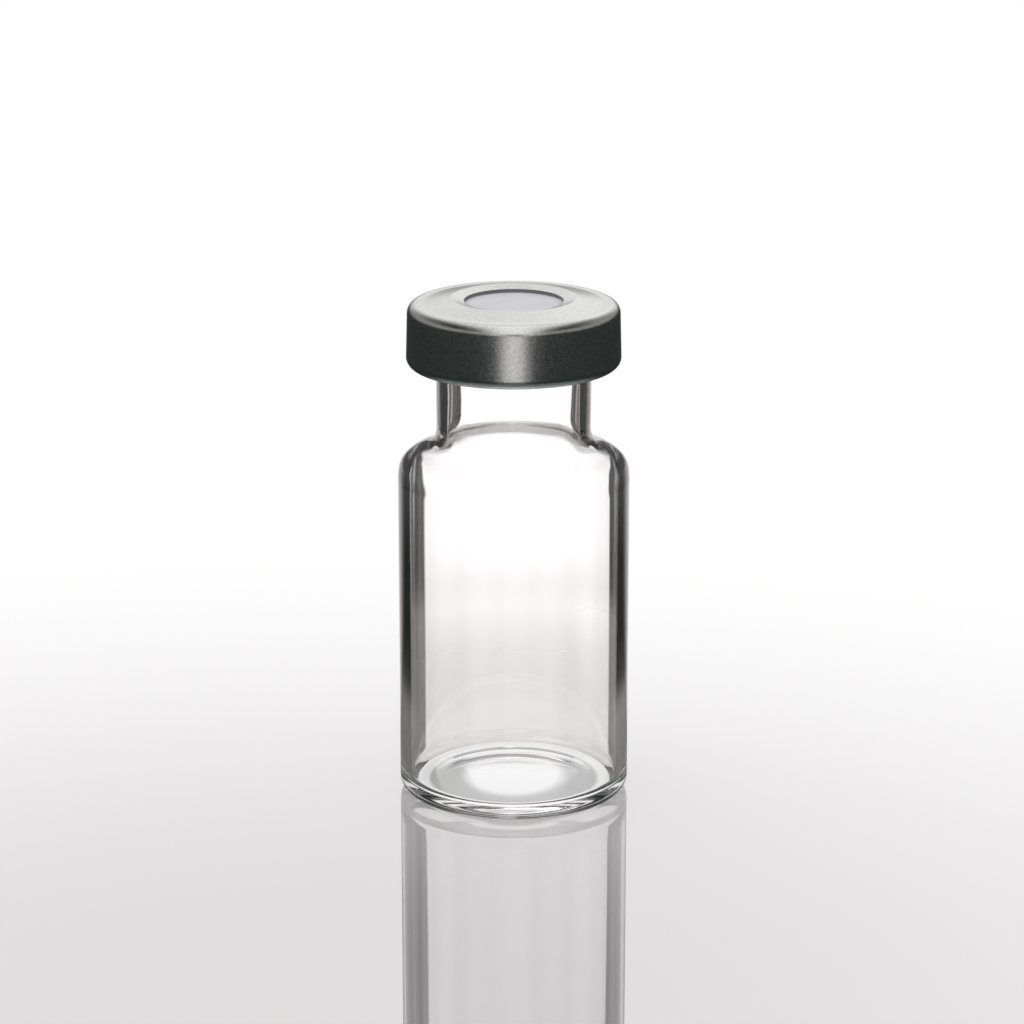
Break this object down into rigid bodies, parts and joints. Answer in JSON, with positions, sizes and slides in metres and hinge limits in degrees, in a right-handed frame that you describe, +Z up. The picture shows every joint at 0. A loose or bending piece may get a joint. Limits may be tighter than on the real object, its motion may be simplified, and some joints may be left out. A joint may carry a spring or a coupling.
{
  "type": "glass sample vial",
  "caption": "Clear glass headspace sample vial with a sloped shoulder and narrow neck, closed by a rubber septum under a crimped aluminium cap with a round needle hole.",
  "frame": {"origin": "centre of the foot, on the surface that the vial stands on", "axes": "+Z up along the vial's axis, from foot to cap; the part is the same all round, so X and Y are free"},
  "size_m": [0.0226, 0.0226, 0.0497],
  "materials": {
    "clear_glass": "clear borosilicate tube glass, fire-polished",
    "septum_rubber": "moulded light grey rubber, smooth matt",
    "cap_aluminium": "drawn sheet, satin mill finish"
  },
  "bodies": {
    "root": {"glass_vial": "clear_glass", "septum": "septum_rubber", "crimp_cap": "cap_aluminium"}
  },
  "joints": []
}
